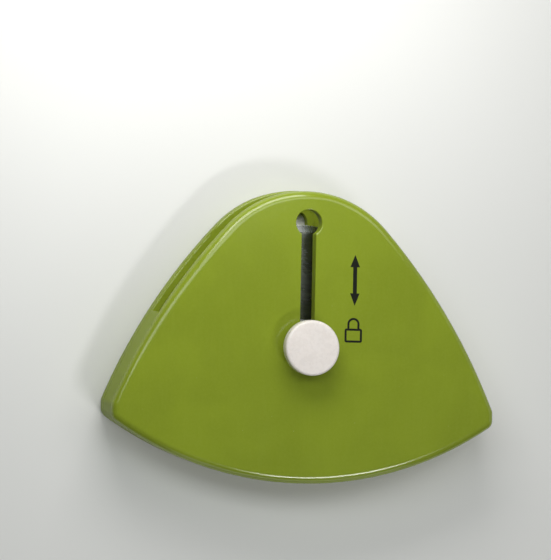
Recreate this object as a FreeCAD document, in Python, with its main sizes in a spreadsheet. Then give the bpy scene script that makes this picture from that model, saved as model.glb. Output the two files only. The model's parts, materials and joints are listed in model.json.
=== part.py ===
import FreeCAD, Part
import math
import os
import Sketcher
from FreeCAD import Placement, Rotation, Vector

# Retractable disc cutter in a flat two-shell case.
#
# Frame (millimetres): the case lies on its back.
#   z = 0    flat back face of the rear shell, +Z out of the front face
#   +X       to the right across the widest part of the case
#   +Y       towards the rounded apex, where the blade comes out
#   origin   centre of the case outline, on the back face
# Every piece is drawn where it sits with the blade retracted and the button
# pressed, which is the only state in which the carriage can start to slide.

doc = FreeCAD.newDocument("RetractableCutter")

# --------------------------------------------------------------------------
# Driving dimensions: alias, value, note
# --------------------------------------------------------------------------
DIMENSIONS = [
    # case outline at the parting line: eight arcs and two short upright flanks,
    # each tangent to the next
    ("apex_radius", 26.08, "apex arc"),
    ("apex_centre_y", 8.395, "centre of the apex arc"),
    ("side_radius", 140.96, "long side arcs"),
    ("bottom_radius", 80.60, "bottom arc"),
    ("bottom_centre_y", 46.125, "centre of the bottom arc"),
    ("corner_radius", 2.6, "both bends of each lower corner"),
    ("corner_centre_x", 43.55, "centre of the bends"),
    ("corner_upper_y", -16.95, "centre of the upper bend"),
    # case thickness
    ("case_thickness", 15.0, "back face to front face"),
    ("parting_height", 4.5, "where the two shells meet"),
    ("front_plate", 2.0, "front shell, flat plate"),
    ("rear_plate", 2.0, "rear shell, flat plate"),
    ("wall", 1.8, "side walls"),
    ("front_draft", 1.8, "draft angle of the front shell, degrees"),
    ("rear_draft", 1.2, "draft angle of the rear shell, degrees"),
    ("front_edge_round", 1.9, "rounding of the front edge"),
    ("rear_edge_round", 1.1, "rounding of the back edge"),
    ("front_rim_round", 0.2, "edge of the front shell at the parting line"),
    ("rear_rim_round", 0.45, "edge of the rear shell at the parting line"),
    ("front_rib", 0.8, "land under the front plate around the slot"),
    ("rear_rib", 0.6, "land on the rear plate around the slot"),
    ("land_half_width", 4.6, "half width of both lands"),
    # step joint between the shells
    ("joint_inset", 0.95, "outer face of the tongue, in from the outline"),
    ("joint_width", 0.75, "thickness of the tongue"),
    ("joint_height", 1.2, "height of the tongue"),
    ("joint_gap", 0.05, "clearance of the tongue in the rebate"),
    # mouth for the blade, cut from the wall of the front shell
    ("mouth_x", 35.25, "where the mouth ends, on the outline"),
    ("mouth_y", 4.96, "where the mouth ends, on the outline"),
    ("mouth_lean", 32.0, "lean of the mouth's end faces, degrees"),
    ("mouth_top", 12.55, "upper edge of the mouth"),
    ("mouth_drop", 0.4, "how much lower in y the tongue is cut than the mouth"),
    # slot
    ("axle_y", -2.28, "axle with the blade retracted"),
    ("travel", 29.0, "slide of the axle to the blade-out stop"),
    ("slot_width", 3.4, "slot"),
    ("lock_hole", 6.2, "round hole at each end of the slot"),
    ("slot_edge_round", 0.25, "edge of the slot"),
    # case screws
    ("screw_low_x", 36.4, "lower pair of screws"),
    ("screw_low_y", -19.4, "lower pair of screws"),
    ("screw_high_x", 33.4, "upper pair of screws"),
    ("screw_high_y", -4.4, "upper pair of screws"),
    ("boss_diameter", 5.0, "screw bosses"),
    ("pilot_diameter", 2.2, "pilot hole in the front bosses"),
    ("pilot_top", 11.0, "bottom of the pilot hole"),
    ("shank_hole", 2.5, "through hole in the rear bosses"),
    ("counterbore", 4.3, "counterbore for the screw head"),
    ("counterbore_depth", 1.6, "counterbore for the screw head"),
    ("head_diameter", 3.9, "screw head"),
    ("head_height", 1.3, "screw head"),
    ("cross_half_width", 0.28, "half width of the cross recess arms"),
    ("cross_reach", 1.05, "centre to end of the cross recess arms"),
    ("cross_floor", 0.35, "head left above the cross recess"),
    ("thread_diameter", 2.2, "screw thread, outside"),
    ("core_diameter", 1.6, "screw thread, root"),
    ("thread_pitch", 0.8, "screw thread"),
    ("thread_start", 0.5, "plain core between head and thread"),
    ("screw_point", 0.7, "length of the conical point"),
    # slider that carries the blade
    ("slider_bottom", 2.65, "underside of the slider"),
    ("slider_foot", 1.35, "thickness of the slider foot"),
    ("slider_foot_x", 13.0, "foot, across the slot"),
    ("slider_foot_y", 9.2, "foot, along the slot"),
    ("slider_foot_corner", 3.0, "foot corner radius"),
    ("slider_foot_round", 0.35, "upper edge of the foot"),
    ("neck_diameter", 9.2, "neck between foot and shoulder"),
    ("neck_start", 0.5, "start of the neck above the underside"),
    ("neck_height", 0.2, "neck left free under the shoulder"),
    ("shoulder_diameter", 10.2, "shoulder under the blade hub"),
    ("shoulder_top", 5.2, "top of the shoulder"),
    ("tube_diameter", 8.0, "tube that the hub turns on"),
    ("tube_bore", 6.1, "bore for the lock plunger"),
    ("tube_top", 9.85, "top of the tube"),
    ("tube_chamfer", 0.2, "upper edge of the tube"),
    ("clip_groove", 7.2, "groove for the retaining clip"),
    ("clip_bottom", 9.15, "lower face of the groove"),
    ("clip_space", 0.45, "height of the groove"),
    # retaining clip and thrust washers
    ("clip_diameter", 10.4, "retaining clip, outside"),
    ("clip_bore", 7.3, "retaining clip, inside"),
    ("clip_thickness", 0.4, "retaining clip"),
    ("clip_gap", 6.4, "opening of the clip"),
    ("clip_round", 0.3, "corners of the opening"),
    ("washer_diameter", 11.6, "thrust washers"),
    ("washer_bore", 8.2, "thrust washers"),
    ("washer_thickness", 0.3, "thrust washers"),
    ("washer_low", 5.2, "lower face of the lower washer"),
    ("washer_high", 8.83, "lower face of the upper washer"),
    # blade, hub and hub plate
    ("blade_diameter", 57.0, "blade"),
    ("blade_thickness", 0.8, "blade"),
    ("blade_bottom", 7.6, "lower face of the blade"),
    ("bevel_width", 1.6, "ground bevel on each face"),
    ("edge_thickness", 0.1, "cutting edge"),
    ("hub_diameter", 12.4, "hub flange"),
    ("hub_bottom", 5.53, "lower face of the hub"),
    ("hub_top", 8.8, "upper face of the hub"),
    ("hub_bore", 8.1, "hub bore"),
    ("hub_round", 0.3, "lower edge of the hub flange"),
    ("spigot_diameter", 10.0, "spigot through the blade"),
    ("spigot_flats", 9.3, "across the two flats of the spigot"),
    ("hub_plate_thickness", 0.38, "hub plate above the blade"),
    ("hub_plate_chamfer", 0.15, "upper outer edge of the hub plate"),
    # axle pin, lock plunger, spring, button
    ("pin_diameter", 3.2, "axle pin"),
    ("pin_hole", 3.3, "hole for the pin in the slider foot"),
    ("pin_bottom", 0.25, "tail of the pin"),
    ("pin_top", 18.8, "end of the pin in the button"),
    ("pin_chamfer", 0.25, "both ends of the pin"),
    ("plunger_diameter", 6.0, "lock plunger"),
    ("plunger_bottom", 6.7, "lower end of the plunger"),
    ("plunger_top", 12.05, "upper end of the plunger"),
    ("plunger_chamfer", 0.25, "both ends of the plunger"),
    ("flange_diameter", 9.0, "stop flange"),
    ("flange_bottom", 9.95, "stop flange"),
    ("flange_thickness", 0.8, "stop flange"),
    ("spring_diameter", 5.6, "spring, outside"),
    ("spring_wire", 0.45, "spring wire"),
    ("spring_turns", 4.0, "spring turns"),
    ("spring_gap", 0.02, "free space at each end of the spring"),
    ("button_diameter", 12.8, "button"),
    ("button_bottom", 17.6, "underside of the button's cap"),
    ("button_side", 20.0, "top of the button at its rim"),
    ("button_crown", 0.25, "crown of the button top"),
    ("button_round", 0.6, "rounding of the button rim"),
    ("button_wall", 1.2, "rim wall under the cap"),
    ("button_post", 6.4, "post under the cap that grips the pin"),
    ("button_foot", 15.15, "lower end of the post"),
    ("button_hollow", 0.7, "depth of the hollow under the cap"),
    # printed marks
    ("mark_thickness", 0.03, "printed ink"),
    ("mark_x", 11.3, "centre line of the arrow"),
    ("arrow_low", 7.6, "lower tip of the arrow"),
    ("arrow_high", 19.55, "upper tip of the arrow"),
    ("arrow_head_length", 2.9, "arrow heads"),
    ("arrow_head_width", 2.3, "arrow heads"),
    ("arrow_shaft", 0.95, "arrow shaft"),
    ("padlock_x", 11.1, "centre of the padlock"),
    ("padlock_low", -1.0, "bottom of the padlock body"),
    ("padlock_width", 4.2, "padlock body"),
    ("padlock_height", 3.25, "padlock body"),
    ("padlock_stroke", 0.48, "line width"),
    ("padlock_corner", 0.45, "padlock body corners"),
    ("shackle_width", 2.9, "shackle"),
    ("shackle_leg", 1.06, "straight legs of the shackle"),
]

# Cutting shapes reach past the material by these amounts
OVERCUT = 1.0
SLOT_OVERCUT = 0.5
CLIP_CUT_REACH = 8.0     # clip opening, down in y from the axle
MOUTH_INSIDE = 3.0       # along the leaning end faces, inwards from the outline
MOUTH_OUTSIDE = 8.0      # along the leaning end faces, outwards
MOUTH_FAR_Y = 60.0       # beyond the apex

# Edge of the screw head from its outer face: (in from the head radius, up in z)
HEAD_EDGE = [(0.45, 0.0), (0.12, 0.2), (0.0, 0.6)]
THREAD_TURNS = 9
THREAD_CREST = 0.3       # crest of each turn, as a part of the pitch
THREAD_ROOT = 0.6        # back at the core, as a part of the pitch

# Smallest volume a feature must change, and slack for edge selection
TOLERANCE = 1e-4

sheet = doc.addObject("Spreadsheet::Sheet", "Spec")
for row, (alias, number, note) in enumerate(DIMENSIONS, start=1):
    sheet.set("A%d" % row, alias)
    sheet.set("B%d" % row, repr(number))
    sheet.setAlias("B%d" % row, alias)
    sheet.set("C%d" % row, note)
doc.recompute()


class Dim:
    """A number together with the sheet expression that gives it."""

    def __init__(self, value, text):
        self.value = float(value)
        self.text = text

    @staticmethod
    def of(other):
        return other if isinstance(other, Dim) else Dim(other, "%.9g" % other)

    def __add__(self, other):
        other = Dim.of(other)
        return Dim(self.value + other.value, "(%s + %s)" % (self.text, other.text))

    def __sub__(self, other):
        other = Dim.of(other)
        return Dim(self.value - other.value, "(%s - %s)" % (self.text, other.text))

    def __mul__(self, other):
        other = Dim.of(other)
        return Dim(self.value * other.value, "(%s * %s)" % (self.text, other.text))

    def __truediv__(self, other):
        other = Dim.of(other)
        return Dim(self.value / other.value, "(%s / %s)" % (self.text, other.text))

    def __neg__(self):
        return Dim(-self.value, "(0 - %s)" % self.text)


def cosine(angle):
    return Dim(math.cos(math.radians(angle.value)), "cos(%s * 1deg)" % angle.text)


def sine(angle):
    return Dim(math.sin(math.radians(angle.value)), "sin(%s * 1deg)" % angle.text)


class Spec:
    """Gives each alias of the sheet as a Dim."""

    def __getattr__(self, alias):
        return Dim(float(sheet.get(alias)), "Spec." + alias)


spec = Spec()
ZERO = Dim(0.0, "0")

# Places that several pieces share
front_inner = spec.case_thickness - spec.front_plate
out_y = spec.axle_y + spec.travel
foot_top = spec.slider_bottom + spec.slider_foot
blade_top = spec.blade_bottom + spec.blade_thickness
SCREW_PLACES = [(spec.screw_low_x, spec.screw_low_y), (-spec.screw_low_x, spec.screw_low_y),
                (spec.screw_high_x, spec.screw_high_y), (-spec.screw_high_x, spec.screw_high_y)]


# --------------------------------------------------------------------------
# Bodies, sketches and constraints
# --------------------------------------------------------------------------
def bind(obj, path, dim):
    obj.setExpression(path, dim.text)


def new_body(label):
    body = doc.addObject("PartDesign::Body", label)
    body.Label = label
    return body


def attached_sketch(body, name, role, shift, height):
    """A sketch on an origin plane, moved along its own x and its normal."""
    sketch = body.newObject("Sketcher::SketchObject", name)
    plane = [item for item in body.Origin.OriginFeatures if item.Role == role][0]
    sketch.AttachmentSupport = [(plane, "")]
    sketch.MapMode = "FlatFace"
    sketch.AttachmentOffset = Placement(Vector(shift.value, 0, height.value), Rotation())
    bind(sketch, "AttachmentOffset.Base.x", shift)
    bind(sketch, "AttachmentOffset.Base.z", height)
    return sketch


def flat_sketch(body, name, height):
    return attached_sketch(body, name, "XY_Plane", ZERO, height)


def upright_sketch(body, name, x=ZERO, y=spec.axle_y):
    """A sketch parallel to XZ whose vertical axis passes through (x, y)."""
    return attached_sketch(body, name, "XZ_Plane", x, -y)


def constrain(sketch, kind, *refs):
    sketch.addConstraint(Sketcher.Constraint(kind, *refs))


def drive(sketch, kind, refs, dim):
    """Adds a driving constraint whose value follows the sheet."""
    index = sketch.addConstraint(Sketcher.Constraint(kind, *refs, dim.value))
    name = "k%d" % index
    sketch.renameConstraint(index, name)
    bind(sketch, "Constraints." + name, dim)


def drive_x(sketch, geo, pos, x):
    drive(sketch, "DistanceX", (-1, 1, geo, pos), x)


def drive_y(sketch, geo, pos, y):
    drive(sketch, "DistanceY", (-1, 1, geo, pos), y)


def place_point(sketch, geo, pos, x, y):
    """Drives a point from the origin; a zero puts it on the axis instead."""
    if abs(x.value) < 1e-9:
        constrain(sketch, "PointOnObject", geo, pos, -2)
    else:
        drive_x(sketch, geo, pos, x)
    if abs(y.value) < 1e-9:
        constrain(sketch, "PointOnObject", geo, pos, -1)
    else:
        drive_y(sketch, geo, pos, y)


def close_ring(sketch, ring, kind):
    """Joins the end of each curve to the start of the next, all the way round."""
    for i, geo in enumerate(ring):
        constrain(sketch, kind, geo, 2, ring[(i + 1) % len(ring)], 1)


# --------------------------------------------------------------------------
# Sketch shapes
# --------------------------------------------------------------------------
def add_line(sketch, start, end):
    return sketch.addGeometry(Part.LineSegment(Vector(*start, 0), Vector(*end, 0)), False)


def add_arc(sketch, centre, radius, start, end):
    circle = Part.Circle(Vector(*centre, 0), Vector(0, 0, 1), radius)
    return sketch.addGeometry(Part.ArcOfCircle(circle, start, end), False)


def add_circle(sketch, x, y, diameter):
    circle = Part.Circle(Vector(x.value, y.value, 0), Vector(0, 0, 1), diameter.value / 2)
    geo = sketch.addGeometry(circle, False)
    place_point(sketch, geo, 3, x, y)
    drive(sketch, "Diameter", (geo,), diameter)


def add_lines(sketch, points):
    """Straight lines from each point to the next, not yet constrained."""
    spots = [(x.value, y.value) for x, y in points]
    return [add_line(sketch, start, end) for start, end in zip(spots, spots[1:])]


def add_polygon(sketch, points):
    geos = add_lines(sketch, points + points[:1])
    close_ring(sketch, geos, "Coincident")
    for geo, (x, y) in zip(geos, points):
        place_point(sketch, geo, 1, x, y)


def add_path(sketch, points):
    """An open chain of lines."""
    geos = add_lines(sketch, points)
    for geo, following in zip(geos, geos[1:]):
        constrain(sketch, "Coincident", geo, 2, following, 1)
    for geo, (x, y) in zip(geos, points):
        place_point(sketch, geo, 1, x, y)
    place_point(sketch, geos[-1], 2, *points[-1])
    return geos


def add_outline(sketch, offset):
    """The case outline, moved outwards by offset (negative is inwards)."""
    apex_r, side_r = spec.apex_radius.value, spec.side_radius.value
    bottom_r, corner_r = spec.bottom_radius.value, spec.corner_radius.value
    apex_y, bottom_y = spec.apex_centre_y.value, spec.bottom_centre_y.value
    corner_x, upper_y = spec.corner_centre_x.value, spec.corner_upper_y.value
    # the lower bend sits straight below the upper one and meets the bottom arc
    lower_y = bottom_y - math.sqrt((bottom_r - corner_r) ** 2 - corner_x ** 2)
    # centre of the right-hand side arc: it meets the apex arc and the upper bend
    rise = upper_y - apex_y
    gap = math.hypot(corner_x, rise)
    along = ((side_r - apex_r) ** 2 - (side_r - corner_r) ** 2 + gap ** 2) / (2 * gap)
    across = math.sqrt((side_r - apex_r) ** 2 - along ** 2)
    unit_x, unit_y = corner_x / gap, rise / gap
    side_x, side_y = min(
        (unit_x * along - unit_y * across, apex_y + unit_y * along + unit_x * across),
        (unit_x * along + unit_y * across, apex_y + unit_y * along - unit_x * across))
    # directions of the points where the arcs meet
    at_apex = math.atan2(apex_y - side_y, -side_x)
    at_upper = math.atan2(upper_y - side_y, corner_x - side_x)
    at_lower = math.atan2(lower_y - bottom_y, corner_x)

    grow = offset.value
    bend_r = corner_r + grow
    flank_x = corner_x + bend_r
    right = add_arc(sketch, (side_x, side_y), side_r + grow, at_upper, at_apex)
    apex = add_arc(sketch, (0, apex_y), apex_r + grow, at_apex, math.pi - at_apex)
    left = add_arc(sketch, (-side_x, side_y), side_r + grow,
                   math.pi - at_apex, math.pi - at_upper)
    upper_left = add_arc(sketch, (-corner_x, upper_y), bend_r, math.pi - at_upper, math.pi)
    flank_left = add_line(sketch, (-flank_x, upper_y), (-flank_x, lower_y))
    lower_left = add_arc(sketch, (-corner_x, lower_y), bend_r, math.pi, math.pi - at_lower)
    bottom = add_arc(sketch, (0, bottom_y), bottom_r + grow, -math.pi - at_lower, at_lower)
    lower_right = add_arc(sketch, (corner_x, lower_y), bend_r, at_lower, 0)
    flank_right = add_line(sketch, (flank_x, lower_y), (flank_x, upper_y))
    upper_right = add_arc(sketch, (corner_x, upper_y), bend_r, 0, at_upper)
    close_ring(sketch, [right, apex, left, upper_left, flank_left, lower_left,
                        bottom, lower_right, flank_right, upper_right], "Tangent")
    for geo in (apex, bottom):
        constrain(sketch, "PointOnObject", geo, 3, -2)
    for geo in (flank_left, flank_right):
        constrain(sketch, "Vertical", geo)
    for geo, y in ((apex, spec.apex_centre_y), (bottom, spec.bottom_centre_y),
                   (upper_right, spec.corner_upper_y), (upper_left, spec.corner_upper_y)):
        drive_y(sketch, geo, 3, y)
    drive_x(sketch, upper_right, 3, spec.corner_centre_x)
    drive_x(sketch, upper_left, 3, -spec.corner_centre_x)
    for geo, radius in ((right, spec.side_radius), (left, spec.side_radius),
                        (apex, spec.apex_radius), (bottom, spec.bottom_radius),
                        (upper_left, spec.corner_radius), (lower_left, spec.corner_radius),
                        (lower_right, spec.corner_radius), (upper_right, spec.corner_radius)):
        drive(sketch, "Radius", (geo,), radius + offset)


def add_obround(sketch, low, high, half_width):
    """A slot shape along Y, from an arc about low to an arc about high."""
    radius, low_y, high_y = half_width.value, low.value, high.value
    top = add_arc(sketch, (0, high_y), radius, 0, math.pi)
    bottom = add_arc(sketch, (0, low_y), radius, -math.pi, 0)
    left = add_line(sketch, (-radius, high_y), (-radius, low_y))
    right = add_line(sketch, (radius, low_y), (radius, high_y))
    close_ring(sketch, [top, left, bottom, right], "Tangent")
    place_point(sketch, top, 3, ZERO, high)
    place_point(sketch, bottom, 3, ZERO, low)
    drive(sketch, "Radius", (top,), half_width)


def add_flat_sided(sketch, low, high, diameter, width, waisted):
    """Two equal arcs about low and high on the Y axis, joined by flats along Y.

    Waisted, the arcs bulge past the flats as round holes at the ends of a slot;
    otherwise the flats cut a circle.
    """
    radius, half = diameter.value / 2, width.value / 2
    side = -1 if waisted else 1
    turn = side * math.acos(half / radius)
    reach = side * math.sqrt(radius ** 2 - half ** 2)
    low_y, high_y = low.value, high.value
    top = add_arc(sketch, (0, high_y), radius, turn, math.pi - turn)
    bottom = add_arc(sketch, (0, low_y), radius, math.pi + turn, 2 * math.pi - turn)
    left = add_line(sketch, (-half, high_y + reach), (-half, low_y - reach))
    right = add_line(sketch, (half, low_y - reach), (half, high_y + reach))
    close_ring(sketch, [top, left, bottom, right], "Coincident")
    for geo in (left, right):
        constrain(sketch, "Vertical", geo)
    for geo, y in ((top, high), (bottom, low)):
        place_point(sketch, geo, 3, ZERO, y)
        drive(sketch, "Radius", (geo,), diameter / 2)
    drive_x(sketch, left, 1, -(width / 2))
    drive_x(sketch, right, 1, width / 2)


def add_slot(sketch):
    add_flat_sided(sketch, spec.axle_y, out_y, spec.lock_hole, spec.slot_width, waisted=True)


def add_spigot(sketch):
    add_flat_sided(sketch, spec.axle_y, spec.axle_y, spec.spigot_diameter, spec.spigot_flats,
                   waisted=False)


def add_round_rectangle(sketch, left, right, low, high, radius):
    bend = radius.value
    x1, x2, y1, y2 = left.value, right.value, low.value, high.value
    quarter = math.pi / 2
    top_right = add_arc(sketch, (x2 - bend, y2 - bend), bend, 0, quarter)
    top_side = add_line(sketch, (x2 - bend, y2), (x1 + bend, y2))
    top_left = add_arc(sketch, (x1 + bend, y2 - bend), bend, quarter, math.pi)
    left_side = add_line(sketch, (x1, y2 - bend), (x1, y1 + bend))
    low_left = add_arc(sketch, (x1 + bend, y1 + bend), bend, math.pi, 3 * quarter)
    low_side = add_line(sketch, (x1 + bend, y1), (x2 - bend, y1))
    low_right = add_arc(sketch, (x2 - bend, y1 + bend), bend, -quarter, 0)
    right_side = add_line(sketch, (x2, y1 + bend), (x2, y2 - bend))
    close_ring(sketch, [top_right, top_side, top_left, left_side,
                        low_left, low_side, low_right, right_side], "Tangent")
    constrain(sketch, "Horizontal", top_side)
    constrain(sketch, "Vertical", left_side)
    for geo in (top_left, low_left, low_right):
        constrain(sketch, "Equal", top_right, geo)
    drive(sketch, "Radius", (top_right,), radius)
    place_point(sketch, top_right, 3, right - radius, high - radius)
    place_point(sketch, low_left, 3, left + radius, low + radius)


def add_mouth(sketch, drop):
    """The region outside a line across the case at the ends of the mouth."""
    along, up = cosine(spec.mouth_lean), sine(spec.mouth_lean)
    x, y = spec.mouth_x, spec.mouth_y - drop
    inner_x, inner_y = x - along * MOUTH_INSIDE, y - up * MOUTH_INSIDE
    outer_x, outer_y = x + along * MOUTH_OUTSIDE, y + up * MOUTH_OUTSIDE
    far_y = Dim.of(MOUTH_FAR_Y)
    add_polygon(sketch, [(inner_x, inner_y), (outer_x, outer_y), (outer_x, far_y),
                         (-outer_x, far_y), (-outer_x, outer_y), (-inner_x, inner_y)])


def add_cross(sketch, x, y, half, reach):
    add_polygon(sketch, [
        (x - half, y - reach), (x + half, y - reach), (x + half, y - half),
        (x + reach, y - half), (x + reach, y + half), (x + half, y + half),
        (x + half, y + reach), (x - half, y + reach), (x - half, y + half),
        (x - reach, y + half), (x - reach, y - half), (x - half, y - half)])


def outline_sketch(body, name, *offsets):
    """Case outlines at the parting line."""
    sketch = flat_sketch(body, name, spec.parting_height)
    for offset in offsets:
        add_outline(sketch, offset)
    return sketch


def screw_sketch(body, name, height, diameter):
    """One circle at each case screw."""
    sketch = flat_sketch(body, name, height)
    for x, y in SCREW_PLACES:
        add_circle(sketch, x, y, diameter)
    return sketch


def axle_sketch(body, name, height, *diameters):
    """Circles about the axle."""
    sketch = flat_sketch(body, name, height)
    for diameter in diameters:
        add_circle(sketch, ZERO, spec.axle_y, diameter)
    return sketch


# --------------------------------------------------------------------------
# Features
# --------------------------------------------------------------------------
def volume(body):
    doc.recompute()
    return body.Shape.Volume


def extrude(body, sketch, kind, length, backwards):
    feature = body.newObject("PartDesign::" + kind, "%s_%s" % (sketch.Name, kind.lower()))
    feature.Profile = sketch
    bind(feature, "Length", length)
    feature.Reversed = backwards
    sketch.Visibility = False
    return feature


def pad(body, sketch, length, down=False, taper=None):
    before = 0.0 if body.Shape.isNull() else volume(body)
    feature = extrude(body, sketch, "Pad", length, down)
    if taper is not None:
        bind(feature, "TaperAngle", taper)
    if not volume(body) > before + TOLERANCE:
        raise RuntimeError("%s adds nothing" % feature.Name)
    return feature


def pocket(body, sketch, length, up=False):
    before = volume(body)
    feature = extrude(body, sketch, "Pocket", length, up)
    if not volume(body) < before - TOLERANCE:
        raise RuntimeError("%s cuts nothing" % feature.Name)
    return feature


def revolve(body, sketch):
    feature = body.newObject("PartDesign::Revolution", sketch.Name + "_turn")
    feature.Profile = sketch
    feature.ReferenceAxis = (sketch, ["V_Axis"])
    feature.Angle = 360
    sketch.Visibility = False
    doc.recompute()
    return feature


def dress_edges(body, feature, test, kind, size_name, size):
    """Dresses every edge of the feature that passes the test."""
    names = ["Edge%d" % index for index, edge in enumerate(feature.Shape.Edges, start=1)
             if test(edge)]
    if not names:
        raise RuntimeError("no edges found on %s" % feature.Name)
    dressing = body.newObject("PartDesign::" + kind, feature.Name + "_round")
    dressing.Base = (feature, names)
    bind(dressing, size_name, size)
    doc.recompute()
    return dressing


def fillet(body, feature, test, radius):
    return dress_edges(body, feature, test, "Fillet", "Radius", radius)


def chamfer(body, feature, test, size):
    return dress_edges(body, feature, test, "Chamfer", "Size", size)


def level(edge):
    return edge.BoundBox.ZLength < TOLERANCE


def at_height(height):
    def test(edge):
        box = edge.BoundBox
        return (abs(box.ZMin - height.value) < TOLERANCE
                and abs(box.ZMax - height.value) < TOLERANCE)
    return test


def slot_rim(height):
    """Edges at a height that lie within the width of the lock holes."""
    reach = spec.lock_hole.value / 2 + 0.1

    def test(edge):
        box = edge.BoundBox
        return at_height(height)(edge) and box.XMax < reach and box.XMin > -reach
    return test


# --------------------------------------------------------------------------
# Case shells
# --------------------------------------------------------------------------
def drafted_block(body, name, length, down, draft, face, edge_round, rim_round):
    """Solid outline with draft, rounded at its outer face and its parting edge."""
    sketch = outline_sketch(body, name, ZERO)
    block = pad(body, sketch, length, down=down, taper=-draft)
    rounded = fillet(body, block, at_height(face), edge_round)
    fillet(body, rounded, at_height(spec.parting_height), rim_round)


def make_front_shell():
    """Flat plate, side wall down to the parting line, mouth, slot, four bosses."""
    body = new_body("front_shell")
    parting = spec.parting_height
    drafted_block(body, "front_outline", spec.case_thickness - parting, down=False,
                  draft=spec.front_draft, face=spec.case_thickness,
                  edge_round=spec.front_edge_round, rim_round=spec.front_rim_round)
    sketch = outline_sketch(body, "front_cavity", -spec.wall)
    pocket(body, sketch, front_inner - parting, up=True)
    sketch = outline_sketch(body, "front_rebate", -(spec.joint_inset - spec.joint_gap))
    pocket(body, sketch, spec.joint_height + spec.joint_gap * 2, up=True)
    sketch = flat_sketch(body, "front_mouth", parting)
    add_mouth(sketch, ZERO)
    pocket(body, sketch, spec.mouth_top - parting, up=True)
    sketch = flat_sketch(body, "front_land", front_inner)
    add_obround(sketch, spec.axle_y, out_y, spec.land_half_width)
    pad(body, sketch, spec.front_rib, down=True)
    sketch = screw_sketch(body, "front_bosses", parting, spec.boss_diameter)
    pad(body, sketch, front_inner - parting)
    sketch = screw_sketch(body, "front_pilots", parting, spec.pilot_diameter)
    pocket(body, sketch, spec.pilot_top - parting, up=True)
    sketch = flat_sketch(body, "front_slot", spec.case_thickness)
    add_slot(sketch)
    slot = pocket(body, sketch, spec.front_plate + spec.front_rib + SLOT_OVERCUT)
    fillet(body, slot, slot_rim(spec.case_thickness), spec.slot_edge_round)
    return body


def make_rear_shell():
    """Shallow tray with the flat back face, tongue, slot, four bosses."""
    body = new_body("rear_shell")
    parting = spec.parting_height
    drafted_block(body, "rear_outline", parting, down=True,
                  draft=spec.rear_draft, face=ZERO,
                  edge_round=spec.rear_edge_round, rim_round=spec.rear_rim_round)
    sketch = outline_sketch(body, "rear_cavity", -spec.wall)
    pocket(body, sketch, parting - spec.rear_plate)
    sketch = outline_sketch(body, "rear_tongue", -spec.joint_inset,
                            -(spec.joint_inset + spec.joint_width))
    pad(body, sketch, spec.joint_height)
    sketch = flat_sketch(body, "rear_mouth", parting)
    add_mouth(sketch, spec.mouth_drop)
    pocket(body, sketch, spec.joint_height + OVERCUT, up=True)
    sketch = flat_sketch(body, "rear_land", spec.rear_plate)
    add_obround(sketch, spec.axle_y, out_y, spec.land_half_width)
    pad(body, sketch, spec.rear_rib)
    sketch = screw_sketch(body, "rear_bosses", spec.rear_plate, spec.boss_diameter)
    pad(body, sketch, parting - spec.rear_plate)
    sketch = screw_sketch(body, "rear_shank_holes", ZERO, spec.shank_hole)
    pocket(body, sketch, parting + OVERCUT, up=True)
    sketch = screw_sketch(body, "rear_counterbores", ZERO, spec.counterbore)
    pocket(body, sketch, spec.counterbore_depth, up=True)
    sketch = flat_sketch(body, "rear_slot", ZERO)
    add_slot(sketch)
    slot = pocket(body, sketch, spec.rear_plate + spec.rear_rib + SLOT_OVERCUT, up=True)
    fillet(body, slot, slot_rim(ZERO), spec.slot_edge_round)
    return body


# --------------------------------------------------------------------------
# Case screws
# --------------------------------------------------------------------------
def make_case_screws():
    """Four pan-head self-tapping screws, driven from the back."""
    body = new_body("case_screws")
    body.AllowCompound = True
    seat, pitch = spec.counterbore_depth, spec.thread_pitch
    head_low = seat - spec.head_height
    head, core = spec.head_diameter / 2, spec.core_diameter / 2
    crest = spec.thread_diameter / 2
    profile = [(ZERO, head_low)]
    profile += [(head - inset, head_low + rise) for inset, rise in HEAD_EDGE]
    profile += [(head, seat), (core, seat)]
    z = seat + spec.thread_start
    for turn in range(THREAD_TURNS):
        profile += [(core, z), (crest, z + pitch * THREAD_CREST),
                    (core, z + pitch * THREAD_ROOT)]
        z = z + pitch
    profile += [(core, z), (ZERO, z + spec.screw_point)]
    for number, (x, y) in enumerate(SCREW_PLACES, start=1):
        sketch = upright_sketch(body, "screw_%d" % number, x, y)
        add_polygon(sketch, profile)
        revolve(body, sketch)
    sketch = flat_sketch(body, "screw_cross", head_low)
    for x, y in SCREW_PLACES:
        add_cross(sketch, x, y, spec.cross_half_width, spec.cross_reach)
    pocket(body, sketch, spec.head_height - spec.cross_floor, up=True)
    return body


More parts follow.
